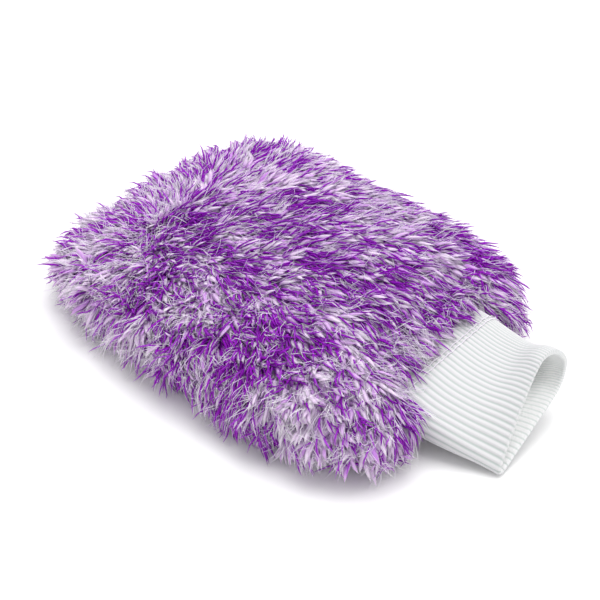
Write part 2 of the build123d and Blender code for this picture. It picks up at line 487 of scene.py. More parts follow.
# Stations along the cuff: share of the way to the mouth, left circle and right circle in metres.
cuff_stations = (
    (0.00, (-0.0270, 0.0270, 0.0095), (0.0350, 0.0300, 0.0105)),
    (0.28, (-0.0285, 0.0205, 0.0092), (0.0350, 0.0285, 0.0115)),
    (0.50, (-0.0290, 0.0170, 0.0085), (0.0345, 0.0262, 0.0118)),
    (0.70, (-0.0250, 0.0135, 0.0072), (0.0322, 0.0270, 0.0125)),
    (0.86, (-0.0205, 0.0085, 0.0052), (0.0295, 0.0315, 0.0148)),
    (1.00, (-0.0170, 0.0044, 0.0040), (0.0285, 0.0315, 0.0158)),
)
root_y = cuff_high[1]
mouth_y = cuff_low[1]


def cuff_share(y):
    """How far along the cuff a y is: nought at its root, one at its mouth."""
    return np.clip((root_y - y) / (root_y - mouth_y), 0, 1)


def cuff_circles(share):
    """The two circles of the cuff's section at a share of the way to the mouth."""
    shares = [s[0] for s in cuff_stations]
    nearby = np.clip(share + np.linspace(-0.07, 0.07, 9), 0, 1)
    both = []
    for side in (1, 2):
        both.append(tuple(
            float(np.mean(np.interp(nearby, shares, [s[side][axis] for s in cuff_stations])))
            for axis in range(3)
        ))
    return both


def cuff_ring(share, inwards, count, relief=0.0):
    """One ring of the cuff at a depth inwards of its outer skin."""
    left, right = cuff_circles(share)
    section = band_section(left, right, count)
    ahead = headings(section)
    outward = np.column_stack([-ahead[:, 1], ahead[:, 0]])
    section = section + outward * np.reshape(relief - inwards, (-1, 1))
    turned = share ** 3 * math.tan(mouth_turn) * (section[:, 0] - left[0])
    over = np.maximum(0, np.sin(2 * math.pi * (np.arange(count) + 0.5) / count))
    y = root_y + (mouth_y - root_y) * share + turned + mouth_recess * over * share ** 4
    z = section[:, 1] + mouth_bulge * over * max(0.0, share - 0.4) ** 1.5
    return np.column_stack([section[:, 0], y, z])


def make_cuff():
    """Both plies as one closed skin, with its own UV map: ribs round the cuff, and rows along it."""
    count = rib_count * points_per_rib
    turns = (np.arange(count) + 0.5) / points_per_rib
    ridge = 0.5 + 0.5 * np.cos(2 * math.pi * turns)
    ribbing = rib_relief * (ridge ** 0.7 - 0.65)
    wall = 2 * ply + ply_gap
    fold = wall / 2
    length = root_y - mouth_y
    profile = [(share, 0.0, 1) for share in np.linspace(0, 1 - fold / length, 64)]
    for step in range(1, 8):
        turn = math.pi * step / 8
        share = 1 - (fold / length) * (1 - math.sin(turn))
        profile.append((share, fold * (1 - math.cos(turn)), math.cos(turn)))
    profile += [(share, wall, -1) for share in np.linspace(1 - fold / length, 0, 48)]
    profile += [(0, ply + ply_gap, 0)]
    profile += [(share, ply + ply_gap, 0) for share in np.linspace(0.1, 0.94, 12)]
    profile += [(0.955, ply + ply_gap / 2, 0)]
    profile += [(share, ply, 0) for share in np.linspace(0.94, 0, 13)]
    across = cuff_ring(0.5, 0.0, count)[:, 0]
    ribbing *= np.interp(across, (-0.035, 0.0, 0.045), rib_flatness)
    rings = [cuff_ring(s, inwards, count, ribbing * side) for s, inwards, side in profile]
    points = np.concatenate(rings)
    total = len(profile)
    faces = ring_faces(total, count, closed=True, flipped=True)
    made = new_object("cuff_rib_knit", points, faces)
    layer = made.data.uv_layers.new(name="OFBake")
    spoke = np.tile(np.arange(count), total)
    row = np.repeat(np.arange(total), count)
    corners = np.empty((total * count, 4, 2))
    for corner, (right, down) in enumerate(((0, 0), (1, 0), (1, 1), (0, 1))):
        corners[:, corner, 0] = (spoke + right + 0.5) / count
        corners[:, corner, 1] = (row + down) / total
    layer.data.foreach_set("uv", corners.ravel())
    return made


cuff = make_cuff()
print("cuff faces:", len(cuff.data.polygons))

# %% Cuff knit
def knit_finish():
    """Rib knit: ridges, grooves darkened grey-green as painted shade, fine stitches, and a painted light
    that makes the face inside the cuff brighter.
    """
    finish, g, shader = new_finish("rib_knit")
    uv = g.add("ShaderNodeUVMap", uv_map="OFBake")
    across = g.part(uv, "X") * (rib_count * 2 * math.pi)
    along = g.part(uv, "Y") * 900.0
    wave = g.maths("COSINE", across) * 0.5 + 0.5
    # painted shade: the grooves between the ribs are coloured darker and grey-green
    groove_shade = g.ramp(wave, 0.55, 0.0)
    # painted light: rows on the face inside the cuff get brighter colours than the outside
    inside = g.ramp(g.part(uv, "Y"), 0.44, 0.52)
    ridge = g.blend(inside, colour(204, 203, 205), colour(250, 250, 250))
    groove_shade_colour = g.blend(inside, colour(172, 181, 178), colour(228, 233, 231))
    shader.inputs["Sheen Weight"].default_value = 0.2
    stitch = g.maths("SINE", across * 2 + along) * g.maths("COSINE", along)
    dress(g, shader, g.blend(groove_shade ** 1.5, ridge, groove_shade_colour), 0.85, stitch, 0.25, 0.0003)
    return finish


cuff.data.materials.append(knit_finish())
stand_for(cuff, "rib_cuff")

# %% [markdown]
# ## Combing the pile
# Plush lies the way it was last stroked. A few strokes, each with a place on the body and a
# direction, are blended over the whole surface, so that the pile swirls and parts between them.

# %% Strokes
# Place as shares of the half sizes (across, along, up), direction, reach, and how upright.
strokes = (
    ((0.00, 0.10, 1.0), (0.90, -0.50, 0.00), 0.35, 0.20),
    ((0.45, 0.45, 0.9), (1.00, -0.20, 0.00), 0.35, 0.24),
    ((0.35, -0.30, 1.0), (0.60, -0.80, 0.00), 0.40, 0.25),
    ((0.10, -0.80, 0.7), (0.10, -1.00, -0.3), 0.35, 0.25),
    ((0.20, 0.95, 0.5), (0.15, 0.80, 0.20), 0.40, 0.36),
    ((0.70, 0.90, 0.5), (0.50, 0.50, 0.10), 0.30, 0.36),
    ((-0.25, 0.95, 0.6), (-0.10, 0.80, 0.20), 0.30, 0.40),
    ((-0.80, 0.85, 0.5), (-0.60, 0.50, -0.4), 0.40, 0.26),
    ((-0.60, 0.60, 0.9), (-0.60, 0.60, -0.1), 0.24, 0.32),
    ((-0.35, 0.30, 0.9), (0.50, -0.55, 0.10), 0.25, 0.55),
    ((-0.75, 0.10, 0.8), (-0.25, -0.70, -0.4), 0.30, 0.35),
    ((-0.80, -0.40, 0.7), (-0.20, -0.90, -0.5), 0.35, 0.30),
    ((-1.00, 0.00, 0.3), (-0.25, -0.50, -0.8), 0.35, 0.40),
    ((-1.00, 0.60, 0.3), (-0.30, -0.10, -0.8), 0.35, 0.50),
    ((-0.80, -0.95, 0.4), (-0.10, -0.60, -0.8), 0.35, 0.35),
    ((-0.50, -1.00, 0.5), (-0.35, -0.50, -0.8), 0.18, 0.25),
    ((0.75, -0.95, 0.5), (0.30, -0.80, -0.5), 0.35, 0.30),
    ((1.00, 0.00, 0.4), (0.50, -0.60, -0.5), 0.40, 0.22),
    ((0.00, 1.00, 0.1), (0.10, 0.50, -0.6), 0.35, 0.45),
    ((0.00, 0.00, 0.0), (0.10, -1.00, 0.00), 0.60, 0.20),
)


def comb(shares, normals):
    """The pile's direction, how upright it stands, and how much it parts, at each point."""
    lay = np.zeros_like(shares)
    upright = np.zeros(len(shares))
    total = np.zeros(len(shares))
    for place, direction, reach, stand in strokes:
        away = np.linalg.norm((shares - place) * (1, 1, 0.8), axis=1)
        weight = np.exp(-((away / reach) ** 2)) + 1e-6
        lay += weight[:, None] * (np.array(direction) / np.linalg.norm(direction))
        upright += weight * stand
        total += weight
    lay /= total[:, None]
    lay -= normals * np.sum(lay * normals, axis=1)[:, None]
    strength = np.linalg.norm(lay, axis=1)
    parted = 1 - np.minimum(strength * 1.6, 1)
    return lay / np.maximum(strength, 1e-6)[:, None], upright / total + 0.25 * parted, parted


def vertex_arrays(mesh):
    """A mesh's points and normals as arrays."""
    points, normals = np.empty((2, len(mesh.vertices), 3))
    mesh.vertices.foreach_get("co", points.ravel())
    mesh.vertex_normals.foreach_get("vector", normals.ravel())
    return points, normals


def lumps(points, size, seed):
    """Smooth noise from -1 to 1 at each point."""
    shift = Vector((seed * 7.3, seed * 3.1, seed * 1.7))
    return np.array([noise.noise(Vector(p) / size + shift) for p in points])


def store(mesh, name, values):
    """Keeps numbers or vectors on a mesh's points for Geometry Nodes to read."""
    kind = "FLOAT_VECTOR" if np.ndim(values) == 2 else "FLOAT"
    field = mesh.attributes.new(name, kind, "POINT")
    field.data.foreach_set("vector" if kind == "FLOAT_VECTOR" else "value", np.ravel(values))


# %% [markdown]
# ## Dyeing, and painted shade in the valleys
# The cloth is dyed in soft patches, so purple strands crowd in some places and are few in others.
# Noise of two sizes gives the patches, and strokes of dye put the large ones in their places. The
# valleys between the clumps are made more purple as well: that is painted shade, not dye.

# %% Dye strokes
# Where the purple dye is dense or thin: place in shares of the half sizes, reach, and strength.
dye_strokes = (
    ((-0.45, 0.42, 0.8), 0.17, 0.80),
    ((-0.10, 0.25, 1.0), 0.16, 0.55),
    ((0.05, 0.10, 1.0), 0.18, 0.50),
    ((0.32, -0.22, 1.0), 0.20, -0.20),
    ((0.08, -0.50, 1.0), 0.22, 0.60),
    ((-0.25, -0.17, 1.0), 0.22, 0.70),
    ((0.85, -0.55, 0.7), 0.22, 0.70),
    ((-0.75, 0.20, 0.6), 0.15, 0.70),
    ((-0.80, -0.25, 0.6), 0.18, 0.65),
    ((-0.55, -0.45, 0.8), 0.14, 0.55),
    ((-1.00, 0.10, 0.1), 0.20, 0.60),
    ((-1.00, -0.50, 0.15), 0.22, 0.85),
    ((-0.60, 0.85, 0.6), 0.26, -0.50),
    ((0.30, 0.45, 0.9), 0.30, -0.40),
    ((0.75, 0.05, 0.8), 0.22, -0.35),
    ((-0.90, 0.60, 0.5), 0.26, -0.55),
    ((-1.00, -0.10, 0.4), 0.16, -0.60),
    ((-0.90, -0.70, 0.4), 0.18, -0.50),
    ((-0.60, -1.00, 0.3), 0.22, -0.60),
    ((-0.35, -0.85, 0.8), 0.20, -0.55),
)

# %% The surface that the pile roots in
root_layer = (0.0115, 0.0350, 0.0185)  # inset, rise and drop of the surface the strands stand on
cloth_layer = (0.0150, 0.0310, 0.0150)
fringe_reach = 0.014  # strands this near to the edge over the cuff stand up in a fringe
tuck_reach = 0.032  # the body is drawn down onto the cuff over this distance
swells = ((0.045, 0.0022, 1), (0.014, 0.0030, 4))  # size, height and seed of the clumps


def outwards(points):
    """The direction straight out of the pillow at each point."""
    away = np.column_stack([
        points[:, 0] / half_width ** 2,
        (points[:, 1] - middle_y) / half_length ** 2,
        (points[:, 2] - seam_z) / np.where(points[:, 2] > seam_z, crown, belly) ** 2,
    ])
    return away / np.linalg.norm(away, axis=1)[:, None]


def in_shares(points):
    """Places as shares of the half sizes, and of the whole height."""
    return np.column_stack([
        points[:, 0] / half_width,
        (points[:, 1] - middle_y) / half_length,
        (points[:, 2] - under_low[2]) / (crown + belly),
    ])


def clumped(points):
    """The points swollen into soft clumps, and how deep in a valley each one is."""
    (broad_size, broad_height, broad_seed), (fine_size, fine_height, fine_seed) = swells
    fine = lumps(points, fine_size, fine_seed)
    side = 0.5 + 0.5 * np.clip(-in_shares(points)[:, 0] * 2, -0.2, 1)
    swell = lumps(points, broad_size, broad_seed) * broad_height + fine * fine_height * side
    moved = points + outwards(points) * swell[:, None]
    moved[:, 2] = np.maximum(moved[:, 2], under_low[2] + 0.003)
    return moved, -fine * side


def dyed(points, valley_shade):
    """How purple the pile is at each point, from nought to one: dye patches, plus painted shade in the
    valleys.
    """
    places = in_shares(points)
    large, small = lumps(points, 0.024, 2), lumps(points, 0.009, 3)
    # painted shade: the deeper a point lies in a valley between clumps, the more purple it is made
    blotch = 0.31 + 0.75 * large + 0.55 * small + 0.8 * valley_shade
    for place, reach, strength in dye_strokes:
        away = np.linalg.norm((places - place) * (1, 1, 0.8), axis=1)
        blotch += strength * np.exp(-((away / reach) ** 2))
    return np.clip(blotch, 0, 1)


def cuff_line(x):
    """Where the body ends over the cuff: a y for each x, and far away beside the cuff."""
    across = (-0.050, -0.040, -0.032, 0.022, 0.047, 0.053, 0.060)
    return np.interp(x, across, (-0.140, -0.090, -0.086, -0.078, -0.072, -0.080, -0.140))


def cuff_top(x, y):
    """The height of the cuff's upper ply over a place in plan."""
    rows, grid, spokes = 24, np.linspace(-0.05, 0.06, 80), 200
    over = [cuff_ring(row, 0.0, spokes)[:spokes // 2] for row in np.linspace(0, 1, rows)]
    tops = np.array([np.interp(grid, ring[:, 0], ring[:, 2]) for ring in over])
    share = cuff_share(y) * (rows - 1)
    first = np.minimum(share.astype(int), rows - 2)
    column = np.clip(np.searchsorted(grid, x), 0, len(grid) - 1)
    part = share - first
    return tops[first, column] * (1 - part) + tops[first + 1, column] * part


def tucked(points):
    """Draws a layer in round the cuff: down onto it, and back to the line where the body ends."""
    x, y, z = np.array(points, dtype=float).T
    line = cuff_line(x)
    near = np.clip((line + tuck_reach - y) / tuck_reach, 0, 1)
    beside = np.clip((0.052 - np.abs(x - 0.006)) / 0.014, 0, 1)
    share = near * near * (3 - 2 * near) * beside
    resting = cuff_top(x, y) + 0.0035 + (z - 0.06) * 0.1
    z = np.where(z > seam_z, z + (np.minimum(z, resting) - z) * share, z)
    y = np.where(y < line, line - 0.2 * (line - y), y)
    return np.column_stack([x, y, z])


def inside_cuff(points, grow):
    """True for points inside the cuff's outline, grown by this much."""
    inside = np.zeros(len(points), bool)
    for number in np.flatnonzero(points[:, 1] < root_y):
        x, y, z = points[number]
        left, right = (np.array(circle) for circle in cuff_circles(cuff_share(y)))
        ahead = right[:2] - left[:2]
        part = np.clip(np.dot((x, z) - left[:2], ahead) / np.dot(ahead, ahead), 0, 1)
        across, up, radius = left + part * (right - left)
        inside[number] = math.hypot(x - across, z - up) < radius + grow
    return inside


def rooting_surface():
    """The surface that strands root in, with the combing and the dyeing (with painted shade in the valleys)
    stored on its points.
    """
    points, faces = layer_surface(*root_layer)
    points, valley_shade = clumped(tucked(points))
    made = new_object("rooting_surface", points, faces)
    spots, normals = vertex_arrays(made.data)
    shares = in_shares(spots)
    lay, upright, parted = comb(shares, normals)
    near_side = np.clip(-shares[:, 0] * 2.2 - 1.1, 0, 1) * np.clip(1.15 - shares[:, 2], 0, 1)
    over_cuff = np.clip((cuff_line(spots[:, 0]) - spots[:, 1]) / fringe_reach + 1, 0, 1)
    over_cuff *= spots[:, 2] > seam_z
    below = spots[:, 2] < seam_z
    under_knit = inside_cuff(spots, 0.001) | (below & inside_cuff(spots, 0.007))
    # the purple field carries the dye patches and the painted shade in the valleys
    for name, values in {
        "lay": lay, "upright": upright + 0.45 * over_cuff, "fringe": over_cuff,
        "tangle": 1.0 + 1.8 * parted + 2.2 * near_side, "clear": 1.0 - under_knit,
        "purple": dyed(spots, valley_shade), "shares": shares,
    }.items():
        store(made.data, name, values)
    return made


roots = rooting_surface()
print("rooting surface:", len(roots.data.vertices), "points")

# %% [markdown]
# ## The layers under the pile
# Under the tufts lies a bed of short dense pile on its ground cloth, then the wadding, then the
# lining of the hand pocket. Each is two closed halves, and the cuff's port is cut through them
# with one tool, a little larger than the cuff, so that the layers meet round it.

# %% Port tool
def port_tool():
    """A closed solid: the cuff's own outline, grown a little."""
    clearance = 0.0012
    rings = []
    count = 96
    for y in np.linspace(-0.045, -0.175, 14):
        ring = cuff_ring(cuff_share(y), -clearance, count)
        ring[:, 1] = y
        rings.append(ring)
    ends = [np.mean(ring, axis=0) for ring in (rings[0], rings[-1])]
    tool = new_object("port_tool", *joined_rings(rings, *ends))
    mend_normals(tool.data)
    tool.hide_render = True
    return tool


def mend_normals(mesh):
    """Turns every face of a closed mesh outwards."""
    work = bmesh.new()
    work.from_mesh(mesh)
    bmesh.ops.recalc_face_normals(work, faces=work.faces)
    work.to_mesh(mesh)
    work.free()


cutter = port_tool()


def make_layer(name, node, points, faces, finish):
    """A closed half of a layer with the port cut out of it."""
    made = new_object(name, points, faces)
    modifier = made.modifiers.new("port", "BOOLEAN")
    modifier.operation = "DIFFERENCE"
    modifier.solver = "EXACT"
    modifier.use_self = True
    modifier.object = cutter
    cut = settled_mesh(made)
    made.data = cut
    cut.name = name
    cut.materials.clear()
    cut.materials.append(finish)
    cut.polygons.foreach_set("use_smooth", [True] * len(cut.polygons))
    cut.set_sharp_from_angle(angle=math.radians(50))
    stand_for(made, node)
    surface = sum(face.area for face in cut.polygons)
    print(f"{name}: {len(cut.polygons)} faces, surface {surface:.4f} m2")
    return made


# %% Short pile
bed_layer = tuple(size - 0.0008 * sign for size, sign in zip(root_layer, (-1, 1, 1)))
for side, node in (("top", "top_plush_panel"), ("bottom", "bottom_plush_panel")):
    points, faces = half_layer(bed_layer, (0.0149, 0.0311, 0.0151), side == "top")
    total = len(points) - 2
    outer = np.append(np.arange(total) < total // 2, [True, False])
    points = tucked(points)
    points[outer] = clumped(points[outer])[0]
    bed = make_layer(f"{side}_short_pile", node, points, faces, short_pile)
    spots, _ = vertex_arrays(bed.data)
    store(bed.data, "purple", dyed(spots, np.zeros(len(spots))))

# %% Ground cloth, wadding and lining
def plain_finish(name, base, roughness, scale, depth):
    """A pale cloth or wadding finish: fine fibres as a bump and a slight change of shade."""
    finish, g, shader = new_finish(name)
    place = g.here()
    fibres = g.speckle(place, scale, 4.0)
    darker = tuple(channel * 0.86 for channel in base[:3]) + (1.0,)
    dress(g, shader, g.blend(fibres, darker, base), roughness, fibres, 0.6, depth)
    return finish


def woven_finish(name, base, pitch):
    """Plain-woven lining: two crossing waves of yarn, this far apart."""
    finish, g, shader = new_finish(name)
    place = g.here()
    warp = g.maths("SINE", g.part(place, "X") * (2 * math.pi / pitch))
    weft = g.maths("SINE", g.part(place, "Y") * (2 * math.pi / pitch))
    weave = warp * weft * 0.5 + 0.5
    darker = tuple(channel * 0.8 for channel in base[:3]) + (1.0,)
    dress(g, shader, g.blend(weave, darker, base), 0.8, weave, 0.5, 0.0002)
    return finish


knitted_ground = plain_finish("ground_cloth", colour(206, 176, 222), 0.9, 900.0, 0.0003)
white_wadding = plain_finish("white_wadding", colour(244, 244, 242), 0.95, 260.0, 0.0015)
lining_weave = woven_finish("lining_weave", colour(238, 238, 236), 0.0009)
cloth_layers = (
    # name, slot, node, outside, inside, distance from the seam, finish
    ("ground_cloth", "plush_pile", "plush_panel",
     cloth_layer, (0.0160, 0.0300, 0.0140), 0.0001, knitted_ground),
    ("wadding_pad", "wadding", "wadding",
     (0.0163, 0.0297, 0.0137), (0.0223, 0.0237, 0.0077), 0.003, white_wadding),
    ("pocket_lining", "lining_cloth", "lining",
     (0.0301, 0.0234, 0.0074), (0.0309, 0.0226, 0.0066), 0.0001, lining_weave),
)
for name, slot, node, outside, inside, edge, finish in cloth_layers:
    for side in ("top", "bottom"):
        points, faces = half_layer(outside, inside, side == "top", edge)
        layer = make_layer(f"{side}_{name}", f"{side}_{node}", tucked(points), faces, finish)
        if name == "wadding_pad":
            continue

# %% [markdown]
# ## Sewing thread
# Overlocked edges are a row of loops that wrap the seam allowance. One small closed loop is set
# along each seam by Geometry Nodes, and turned to face along it.

# %% Stitches
def thread_finish():
    """Spun polyester thread: white with a fine twist."""
    finish, g, shader = new_finish("sewing_thread")
    place = g.here()
    twist = g.speckle(place, 3000.0)
    dress(g, shader, g.blend(twist, colour(214, 206, 220), colour(240, 236, 242)), 0.6)
    return finish


thread = thread_finish()


def loop_stitch(across, up, thickness, lean):
    """A closed loop of thread round a seam's edge, in the plane across the seam."""
    turns, sides = 12, 4
    points = []
    for turn in range(turns):
        angle = 2 * math.pi * turn / turns
        for side in range(sides):
            around = 2 * math.pi * side / sides
            out = thickness * math.cos(around)
            points.append((
                lean * math.sin(angle) + thickness * math.sin(around),
                (across + out) * math.cos(angle),
                (up + out) * math.sin(angle),
            ))
    made = new_object("loop_stitch", points, ring_faces(turns, sides, closed=True, flipped=True))
    mend_normals(made.data)
    return made


def new_tree(name, inputs):
    """An empty Geometry Nodes tree: (its graph, a function that gives one of its inputs)."""
    tree = bpy.data.node_groups.new(name, "GeometryNodeTree")
    for title, kind in inputs:
        tree.interface.new_socket(title, in_out="INPUT", socket_type=f"NodeSocket{kind}")
    tree.interface.new_socket("Geometry", in_out="OUTPUT", socket_type="NodeSocketGeometry")
    g = Graph(tree)
    given = g.add("NodeGroupInput", pick=False)
    return g, lambda title: Value(g, given.outputs[title])


def end_tree(g, geometry):
    """Wires the tree's output, and gives the finished tree."""
    ending = g.add("NodeGroupOutput", pick=False)
    g.tree.links.new(geometry.socket, ending.inputs["Geometry"])
    return g.tree


def run_tree(made, tree, wishes):
    """The mesh that a tree makes from an object with these inputs."""
    modifier = made.modifiers.new(tree.name, "NODES")
    modifier.node_group = tree
    for item in tree.interface.items_tree:
        if item.in_out == "INPUT" and item.name in wishes:
            modifier[item.identifier] = wishes[item.name]
    return settled_mesh(made)


def sewing_tree():
    """Sets a stitch on every point, turned along the stored direction of the seam."""
    g, wish = new_tree("sew", (("Geometry", "Geometry"), ("Stitch", "Object"), ("Thread", "Material")))
    places = g.add("GeometryNodeMeshToPoints", {"Mesh": wish("Geometry")})
    heading = g.add(
        "GeometryNodeInputNamedAttribute", {"Name": "heading"}, "Attribute", data_type="FLOAT_VECTOR"
    )
    turned = g.add("FunctionNodeAlignRotationToVector", {"Vector": heading}, axis="X", pivot_axis="Z")
    stitch = g.add("GeometryNodeObjectInfo", {"Object": wish("Stitch")}, "Geometry")
    sewn = g.add("GeometryNodeInstanceOnPoints", {"Points": places, "Instance": stitch, "Rotation": turned})
    sewn = g.add("GeometryNodeRealizeInstances", {"Geometry": sewn})
    sewn = g.add("GeometryNodeSetMaterial", {"Geometry": sewn, "Material": wish("Thread")})
    return end_tree(g, sewn)


sew = sewing_tree()


def sew_along(name, node, places, ways, stitch):
    """A row of stitches as one piece."""
    row = new_object(name, places, [])
    store(row.data, "heading", np.array(ways, dtype=float))
    sewn = run_tree(row, sew, {"Stitch": stitch, "Thread": thread})
    row.data = sewn
    sewn.polygons.foreach_set("use_smooth", [True] * len(sewn.polygons))
    stand_for(row, node)
    print(f"{name}: {len(places)} stitches, {len(sewn.polygons)} faces")


def seam_places(inset, pitch):
    """Points every pitch along the seam at this inset, with the way that the seam runs there."""
    ring = tucked(layer_ring(math.pi / 2, inset, 0.0, 0.0, 720))
    places = spaced(ring, pitch)
    open_here = ~inside_cuff(places, 0.003)
    return places[open_here], headings(places)[open_here]


overlock = loop_stitch(0.0013, 0.0012, 0.00022, 0.0016)
loop_pitch = 0.0030
for cloth, inset in (("shell", 0.0205), ("lining", 0.0260)):
    sew_along(f"{cloth}_overlock", f"{cloth}_seam_overlock", *seam_places(inset, loop_pitch), overlock)
tack_y = 0.12990
tack_places = [(x, tack_y + 0.0004 * wrap, seam_z) for x in (-0.024, 0.0, 0.024) for wrap in (-1, 0, 1)]
tack = loop_stitch(0.0011, 0.0006, 0.00018, 0.0005)
sew_along("fingertip_tack_stitches", "fingertip_tacks", tack_places, [(1, 0, 0)] * len(tack_places), tack)


def thread_ring(y, grow, bite):
    """One row of running stitches round the cuff: a closed thread that dips in and out."""
    count, sides, thickness = 240, 5, 0.00025
    dip = grow + bite * np.sin(np.arange(count) * 2 * math.pi / 8)
    spine = cuff_ring(cuff_share(y), -dip, count)
    spine[:, 1] = y
    along = np.array([0.0, 1.0, 0.0])
    outward = np.cross(along, headings(spine))
    points = []
    for around in np.arange(sides) * 2 * math.pi / sides:
        points.append(spine + thickness * (math.cos(around) * outward + math.sin(around) * along))
    return np.stack(points, axis=1).reshape(-1, 3), ring_faces(count, sides, closed=True)

first, faces = thread_ring(-0.0930, 0.0005, 0.0003)
second, more = thread_ring(-0.0955, 0.0005, 0.0003)
faces += [tuple(corner + len(first) for corner in face) for face in more]
rings = new_object("cuff_stitch_rows", np.vstack([first, second]), faces)
mend_normals(rings.data)
rings.data.materials.append(thread)
stand_for(rings, "cuff_seam_stitching")

# %% [markdown]
# ## Growing strands with Geometry Nodes
# Tens of thousands of strands can't be placed by hand, and hair curves wouldn't export as a
# mesh. So a Geometry Nodes tree scatters roots on the surface, puts one small closed strand on
# each, and then bends all of them at once: up from the root, over along the combing, towards
# the middle of the tuft that they belong to, and down under their own weight.

# %% One strand
def strand_template(name, stations, sides, flatness):
    """A closed strand: its points keep (side, other side, share along) for the bending."""
    points = []
    spots = []
    for along, girth in stations[:-1]:
        for side in range(sides):
            turn = 2 * math.pi * side / sides
            spots.append((girth * math.cos(turn), girth * math.sin(turn) * flatness, along))
            points.append((math.cos(turn) * 1e-3, math.sin(turn) * 1e-3, along * 1e-2))
    points.append((0, 0, 1e-2))
    spots.append((0, 0, stations[-1][0]))
    rows = len(stations) - 1
    tip = sides * rows
    faces = [tuple(range(sides - 1, -1, -1))]
    faces += ring_faces(rows, sides, flipped=True)
    for side in range(sides):
        faces.append((tip - sides + side, tip - sides + (side + 1) % sides, tip))
    made = new_object(name, points, faces)
    store(made.data, "spot", np.array(spots, dtype=float))
    layer = made.data.uv_layers.new(name="OFBake")
    margin = 0.1
    for face in made.data.polygons:
        side = (face.index - 1) % sides
        for loop in face.loop_indices:
            vertex = made.data.loops[loop].vertex_index
            along = stations[min(vertex // sides, rows)][0]
            right = 0.5 if vertex == tip else float((vertex % sides != side) == (side % 2 == 0))
            if face.index == 0:
                right = vertex / (sides - 1)
                along += 0.02 * (vertex % 2)
            layer.data[loop].uv = ((margin + right * (1 - 2 * margin)) / dye_lots, 0.02 + 0.96 * along)
    made.hide_render = True
    return made


lobe = strand_template("lobe", ((0, 0.55), (0.22, 0.95), (0.5, 1.0), (0.76, 0.72), (1, 0)), 4, 0.4)
tick = strand_template("tick", ((0, 0.6), (0.28, 1.0), (0.55, 1.0), (0.82, 0.62), (1, 0)), 3, 1.0)
wisp = strand_template("wisp", ((0, 0.8), (0.35, 1.0), (0.7, 0.8), (1, 0)), 3, 1.0)


